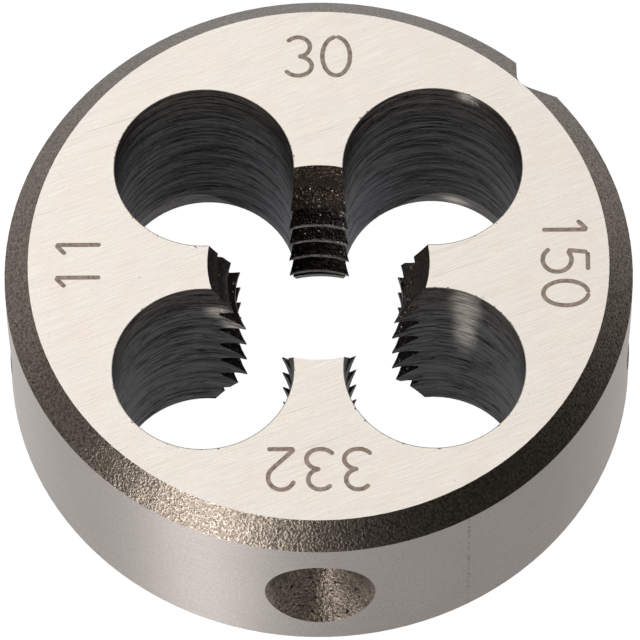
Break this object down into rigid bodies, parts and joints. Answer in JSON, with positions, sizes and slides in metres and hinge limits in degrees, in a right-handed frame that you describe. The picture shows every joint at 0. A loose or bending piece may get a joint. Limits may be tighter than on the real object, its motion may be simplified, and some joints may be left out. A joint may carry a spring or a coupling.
{
  "type": "round threading die",
  "caption": "Round threading die: a steel disc with a threaded bore, chip holes that open it into toothed lands, chamfered rims, cone seats and a vee groove in the rim; it cuts an outside thread on a rod.",
  "frame": {"origin": "centre of the lower face, where the axis of the thread meets it", "axes": "+Z along the axis of the thread, from the lower face to the marked face; +X and +Y through the middle of a toothed land and of a cone seat; the vee groove is halfway between +X and +Y"},
  "size_m": [0.03, 0.03, 0.011],
  "materials": {
    "tool_steel": "ground tool steel on the two faces and the rim, dark heat-treatment scale on the chamfers, in the chip holes and on the teeth"
  },
  "bodies": {
    "root": {"threading_die": "tool_steel"}
  },
  "joints": []
}
